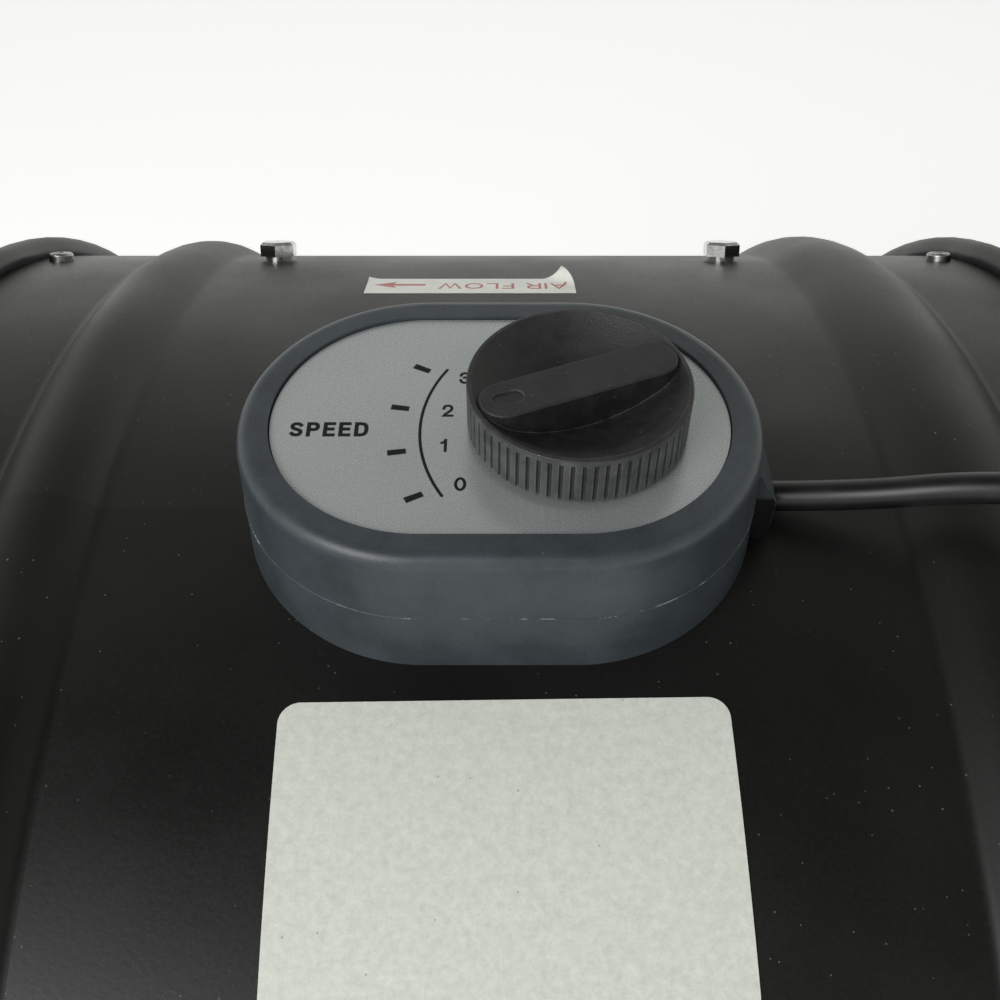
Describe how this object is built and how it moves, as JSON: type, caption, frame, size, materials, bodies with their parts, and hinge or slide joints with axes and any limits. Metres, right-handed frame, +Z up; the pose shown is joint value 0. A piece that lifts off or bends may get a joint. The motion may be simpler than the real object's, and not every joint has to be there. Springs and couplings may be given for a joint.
{
  "type": "drum blower",
  "caption": "Short steel drum blower for drying boots: axial fan behind wire guards, motor on struts, speed control box with ribbed knob on top, two feet and a mains cord.",
  "frame": {"origin": "on the floor under the middle of the drum", "axes": "+X along the drum's axis towards the air inlet and the cord, +Y away from the side a user stands at, +Z up"},
  "size_m": [0.45, 0.5484, 0.6056],
  "materials": {
    "black_enamel": "satin black stove enamel",
    "black_wire": "black powder coat",
    "zinc_steel": "zinc plated",
    "bright_steel": "bright chrome plated",
    "galvanised_steel": "galvanised sheet",
    "motor_paint": "semi-gloss black",
    "cast_aluminium": "as cast",
    "lamination_steel": "stacked steel laminations",
    "capacitor_can": "moulded can",
    "conduit_steel": "zinc plated tube",
    "black_rubber": "matt",
    "foot_paint": "satin black stove enamel",
    "slate_plastic": "satin moulded, slate grey",
    "silver_plate": "silver grey printed plate",
    "black_plastic": "matt moulded",
    "white_plastic": "moulded",
    "cord_rubber": "smooth sheath",
    "tie_fabric": "hook-and-loop tape",
    "brass": "nickel-free brass",
    "white_vinyl": "vinyl sticker",
    "label_paper": "coated paper"
  },
  "bodies": {
    "housing": {"airflow_label": "white_vinyl", "bolt_collars": "bright_steel", "box_base": "slate_plastic", "box_cover": "slate_plastic", "box_nuts": "zinc_steel", "box_screws": "zinc_steel", "capacitor_clip": "galvanised_steel", "conduit_grommet": "black_rubber", "cord_block": "slate_plastic", "cord_coil": "cord_rubber", "cord_tail": "cord_rubber", "cord_tie": "tie_fabric", "cover_screws": "zinc_steel", "drive_end_bell": "cast_aluminium", "drum": "black_enamel", "face_plate": "silver_plate", "foot_bolts": "bright_steel", "foot_nuts": "zinc_steel", "frame_bolts": "bright_steel", "frame_nuts": "zinc_steel", "guard_nuts": "zinc_steel", "guard_screws": "zinc_steel", "inlet_guard": "black_wire", "left_foot": "foot_paint", "motor_bearings": "bright_steel", "motor_case": "motor_paint", "motor_conduit": "conduit_steel", "motor_saddles": "galvanised_steel", "motor_shelf": "galvanised_steel", "motor_stator": "lamination_steel", "motor_straps": "galvanised_steel", "motor_struts": "galvanised_steel", "outlet_guard": "black_wire", "pad_nuts": "zinc_steel", "pad_screws": "zinc_steel", "plug": "cord_rubber", "plug_pins": "brass", "power_cord": "cord_rubber", "rating_label": "label_paper", "rear_end_bell": "cast_aluminium", "right_foot": "foot_paint", "rotary_switch": "black_plastic", "rubber_pads": "black_rubber", "run_capacitor": "capacitor_can", "saddle_screws": "zinc_steel", "shelf_nuts": "zinc_steel", "shelf_screws": "zinc_steel", "strain_relief": "black_rubber", "strap_screws": "zinc_steel", "switch_nut": "zinc_steel", "terminal_block": "white_plastic"},
    "knob": {"speed_knob": "black_plastic", "switch_shaft": "bright_steel"},
    "impeller": {"motor_shaft": "bright_steel", "motor_rotor": "lamination_steel", "impeller": "cast_aluminium", "hub_washer": "zinc_steel", "hub_nut": "zinc_steel"}
  },
  "joints": [
    {"name": "knob_turn", "type": "hinge", "parent": "housing", "child": "knob", "pos_m": [0.0146, -0.0017, 0.5951], "axis": [0, 0, 1], "range_deg": [-50, 10]},
    {"name": "impeller_spin", "type": "hinge", "parent": "housing", "child": "impeller", "pos_m": [-0.108, 0, 0.3], "axis": [1, 0, 0], "continuous": true}
  ]
}
